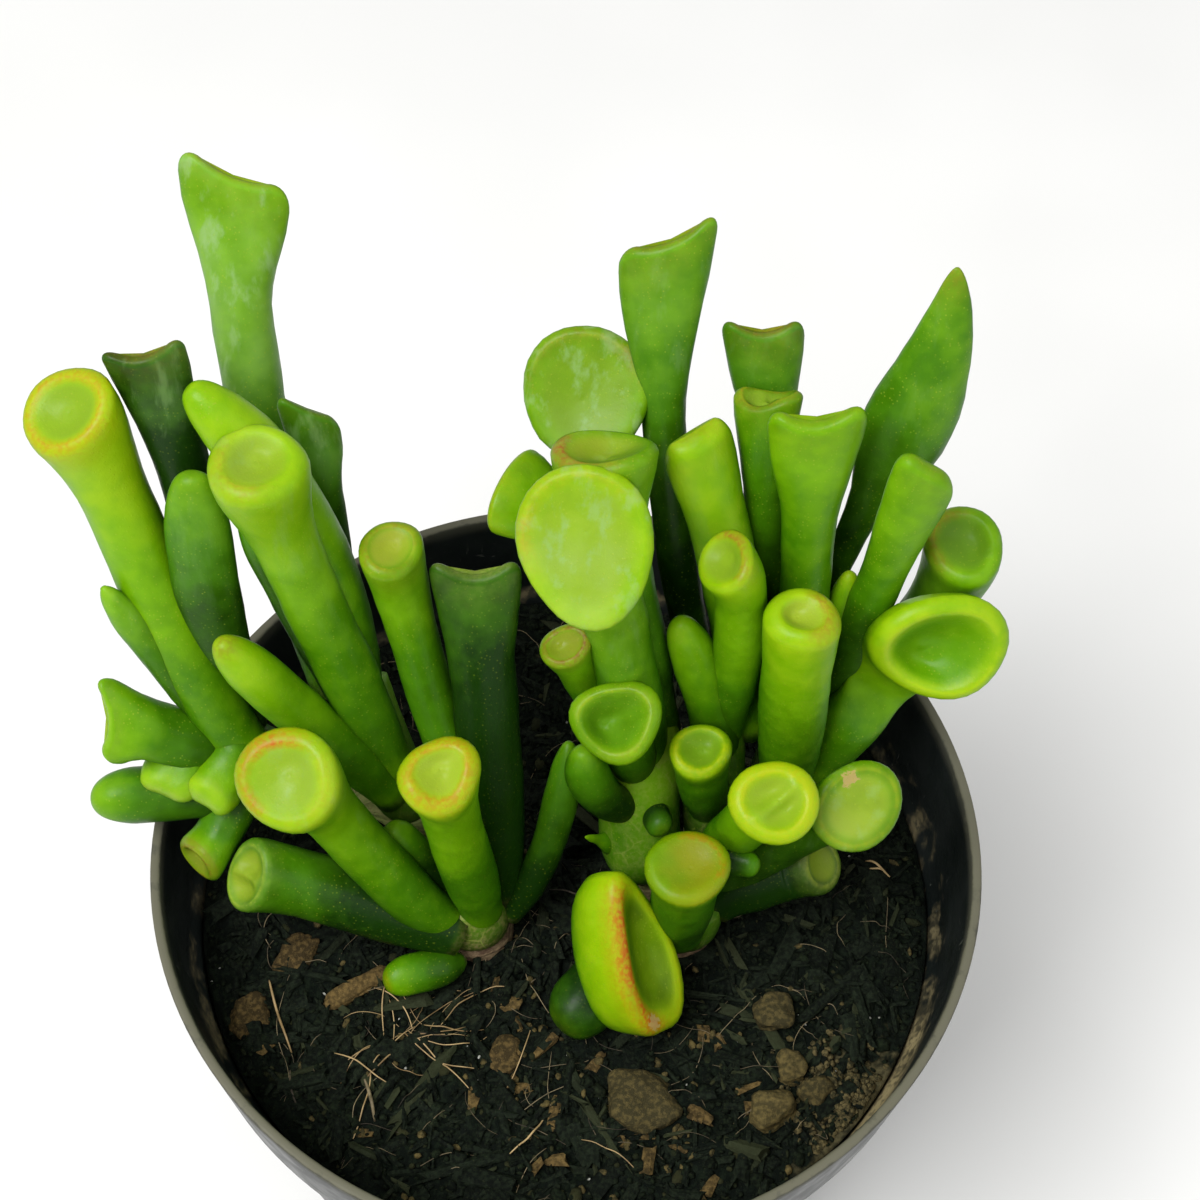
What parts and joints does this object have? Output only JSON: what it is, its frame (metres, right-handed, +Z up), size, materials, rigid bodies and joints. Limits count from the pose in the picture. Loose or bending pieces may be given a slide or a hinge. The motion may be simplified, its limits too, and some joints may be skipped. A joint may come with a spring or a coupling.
{
  "type": "potted succulent",
  "caption": "Trumpet-leaved jade plant with tubular, cup-tipped fleshy leaves, rooted in potting mix in a round black nursery pot.",
  "frame": {"origin": "centre of the pot's underside, on the surface that the pot stands on", "axes": "+Z up along the pot's axis, -Y towards the front, +X to the right seen from the front"},
  "size_m": [0.1087, 0.1, 0.1622],
  "materials": {
    "pot": "thin black polypropylene, satin, dusty along the rim",
    "soil": "moist peat and bark potting mix with fibres",
    "bark": "rough brown bark",
    "stone": "dusty rounded grit",
    "leaf": "waxy, fleshy lime green with red and pale rims"
  },
  "bodies": {
    "root": {"pot": "pot", "soil": "soil", "stone_1": "stone", "stone_2": "stone", "stone_3": "stone", "stone_4": "stone", "stone_5": "stone", "chip_1": "bark", "chip_2": "bark", "chip_3": "bark", "stick": "bark", "left_stem": "bark", "right_stem": "bark", "left_front_shoot": "leaf", "left_back_shoot": "leaf", "left_outer_shoot": "leaf", "right_front_shoot": "leaf", "right_left_shoot": "leaf", "right_middle_shoot": "leaf", "right_back_shoot": "leaf"}
  },
  "joints": []
}
